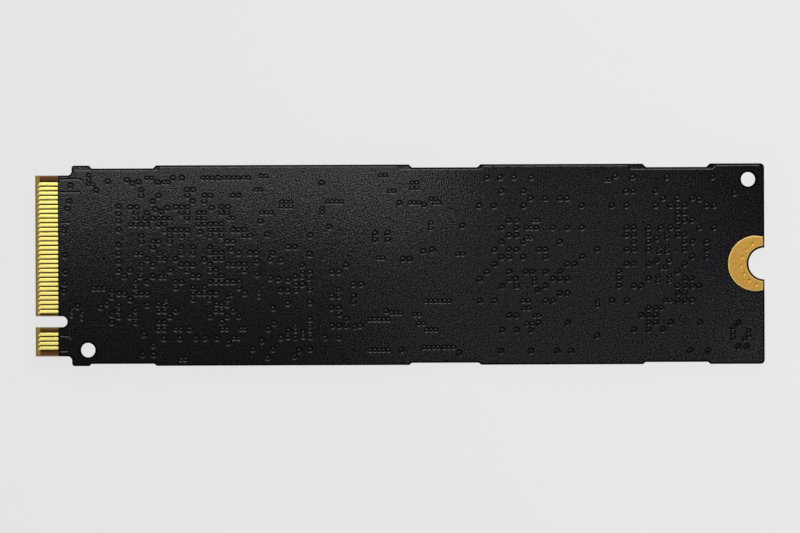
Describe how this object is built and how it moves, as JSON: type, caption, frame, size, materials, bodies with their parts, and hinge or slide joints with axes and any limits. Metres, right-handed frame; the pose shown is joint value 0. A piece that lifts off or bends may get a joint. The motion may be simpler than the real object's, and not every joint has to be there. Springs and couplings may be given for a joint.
{
  "type": "solid state drive card",
  "caption": "Slim single-sided solid state drive card with a gold-finger card edge, a key notch and a half-moon screw notch, lying on its memory packages.",
  "frame": {"origin": "below the middle of the card, on the surface that its tallest packages rest on", "axes": "+X from the card edge to the screw end, +Y across the card towards contact 1, +Z out of the bare back face"},
  "size_m": [0.08, 0.022, 0.0022],
  "materials": {
    "laminate": "sawn and routed glass-epoxy laminate",
    "solder_mask": "satin black lacquer",
    "contact_gold": "bright hard gold plate",
    "pad_gold": "satin immersion gold",
    "package_substrate": "lacquered laminate",
    "mould_compound": "fine matt moulded epoxy",
    "solder": "satin reflowed tin alloy",
    "lead_metal": "satin tin plate",
    "inductor_core": "pressed iron powder",
    "capacitor_ceramic": "fired ceramic",
    "resistor_ceramic": "fired white ceramic",
    "crystal_ceramic": "fired brown ceramic",
    "crystal_lid_metal": "stamped plated sheet"
  },
  "bodies": {
    "root": {"board_laminate": "laminate", "bulk_capacitor_bodies": "capacitor_ceramic", "bulk_capacitor_ends": "lead_metal", "bypass_capacitor_bodies": "capacitor_ceramic", "bypass_capacitor_ends": "lead_metal", "contact_fingers_back": "contact_gold", "contact_fingers_front": "contact_gold", "controller_cap": "mould_compound", "controller_solder_balls": "solder", "controller_substrate": "package_substrate", "crystal_base": "crystal_ceramic", "crystal_lid": "crystal_lid_metal", "flash_1_cap": "mould_compound", "flash_1_solder_balls": "solder", "flash_1_substrate": "package_substrate", "flash_2_cap": "mould_compound", "flash_2_solder_balls": "solder", "flash_2_substrate": "package_substrate", "inductor_bodies": "inductor_core", "inductor_terminals": "lead_metal", "input_switch_body": "mould_compound", "input_switch_leads": "lead_metal", "memory_cap": "mould_compound", "memory_solder_balls": "solder", "memory_substrate": "package_substrate", "mounting_pad_back": "pad_gold", "mounting_pad_front": "pad_gold", "power_chip_body": "mould_compound", "power_chip_leads": "lead_metal", "resistor_bodies": "resistor_ceramic", "resistor_ends": "lead_metal", "solder_fillets": "solder", "solder_mask_back": "solder_mask", "solder_mask_front": "solder_mask"}
  },
  "joints": []
}
